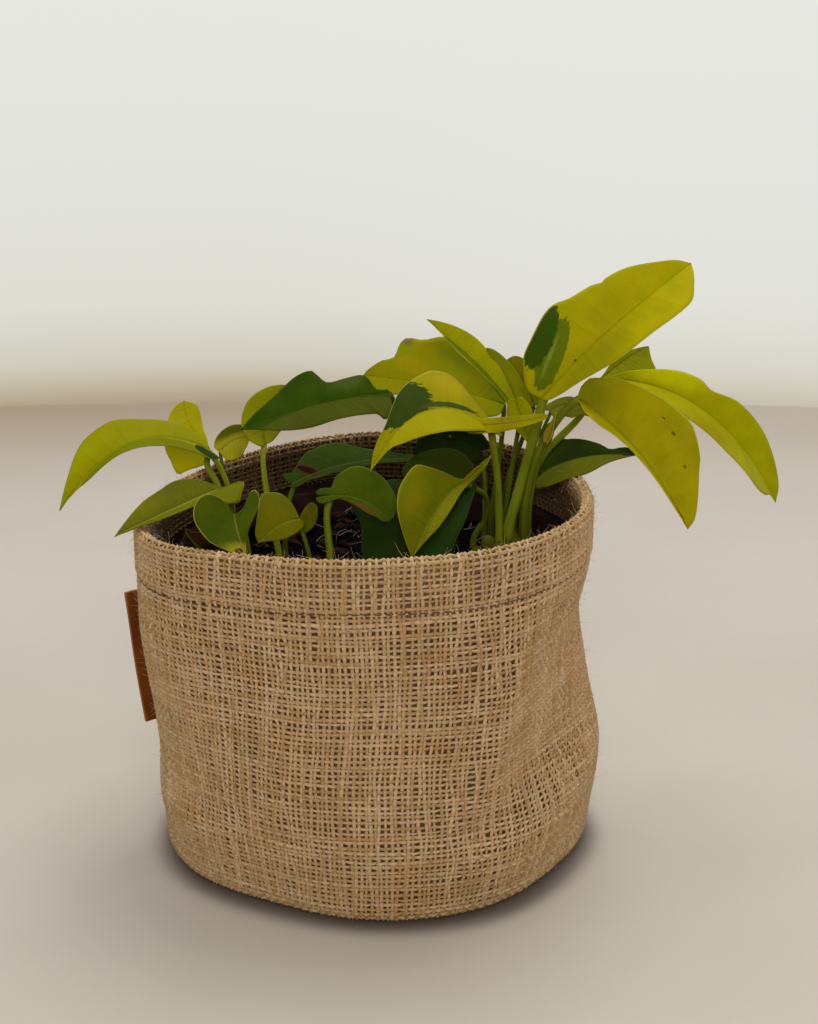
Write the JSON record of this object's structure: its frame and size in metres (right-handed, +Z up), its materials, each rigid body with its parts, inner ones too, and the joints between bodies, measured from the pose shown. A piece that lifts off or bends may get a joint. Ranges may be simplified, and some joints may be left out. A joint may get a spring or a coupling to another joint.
{
  "type": "potted neon pothos",
  "caption": "Neon pothos with lime and dark green heart-shaped leaves in a plastic nursery pot, standing in a round woven jute planter sack with a plain leather side label.",
  "frame": {"origin": "middle of the flat underside of the jute sack, on the surface that it stands on", "axes": "+Z up, the viewer's side towards -Y, the leather label towards -X and the longest leaf towards +X"},
  "size_m": [0.2819, 0.173, 0.2231],
  "materials": {
    "jute_cloth": "matte",
    "pot_plastic": "matte",
    "soil": "matte",
    "label_leather": "satin",
    "lime_leaf": "satin",
    "olive_leaf": "satin",
    "dark_leaf": "satin",
    "withered_leaf": "matte",
    "petiole": "satin"
  },
  "bodies": {
    "root": {"jute_sack": "jute_cloth", "nursery_pot": "pot_plastic", "potting_soil": "soil", "leather_label": "label_leather", "leaf_upper_right": "lime_leaf", "petiole_upper_right": "petiole", "leaf_right_drooping": "lime_leaf", "petiole_right_drooping": "petiole", "leaf_far_right": "lime_leaf", "petiole_far_right": "petiole", "leaf_right_rear": "olive_leaf", "petiole_right_rear": "petiole", "leaf_variegated": "lime_leaf", "petiole_variegated": "petiole", "leaf_pointed": "lime_leaf", "petiole_pointed": "petiole", "leaf_wavy_back": "olive_leaf", "petiole_wavy_back": "petiole", "leaf_olive_back": "olive_leaf", "petiole_olive_back": "petiole", "leaf_dark_left": "dark_leaf", "petiole_dark_left": "petiole", "leaf_round_left": "olive_leaf", "petiole_round_left": "petiole", "leaf_far_left": "lime_leaf", "petiole_far_left": "petiole", "leaf_back_left": "lime_leaf", "petiole_back_left": "petiole", "leaf_small_back": "lime_leaf", "petiole_small_back": "petiole", "leaf_rim_left": "lime_leaf", "petiole_rim_left": "petiole", "leaf_front_hanging": "lime_leaf", "petiole_front_hanging": "petiole", "leaf_small_front_left": "lime_leaf", "petiole_small_front_left": "petiole", "leaf_olive_heart": "lime_leaf", "petiole_olive_heart": "petiole", "leaf_round_centre": "lime_leaf", "petiole_round_centre": "petiole", "leaf_torn_dark": "dark_leaf", "petiole_torn_dark": "petiole", "leaf_dark_right": "dark_leaf", "petiole_dark_right": "petiole", "leaf_dark_rear": "dark_leaf", "petiole_dark_rear": "petiole", "leaf_dark_centre": "dark_leaf", "petiole_dark_centre": "petiole", "leaf_dark_hanging": "dark_leaf", "petiole_dark_hanging": "petiole", "leaf_rear_lobe": "olive_leaf", "petiole_rear_lobe": "petiole", "leaf_young_pale": "lime_leaf", "petiole_young_pale": "petiole", "leaf_withered": "withered_leaf", "petiole_withered": "withered_leaf"}
  },
  "joints": []
}
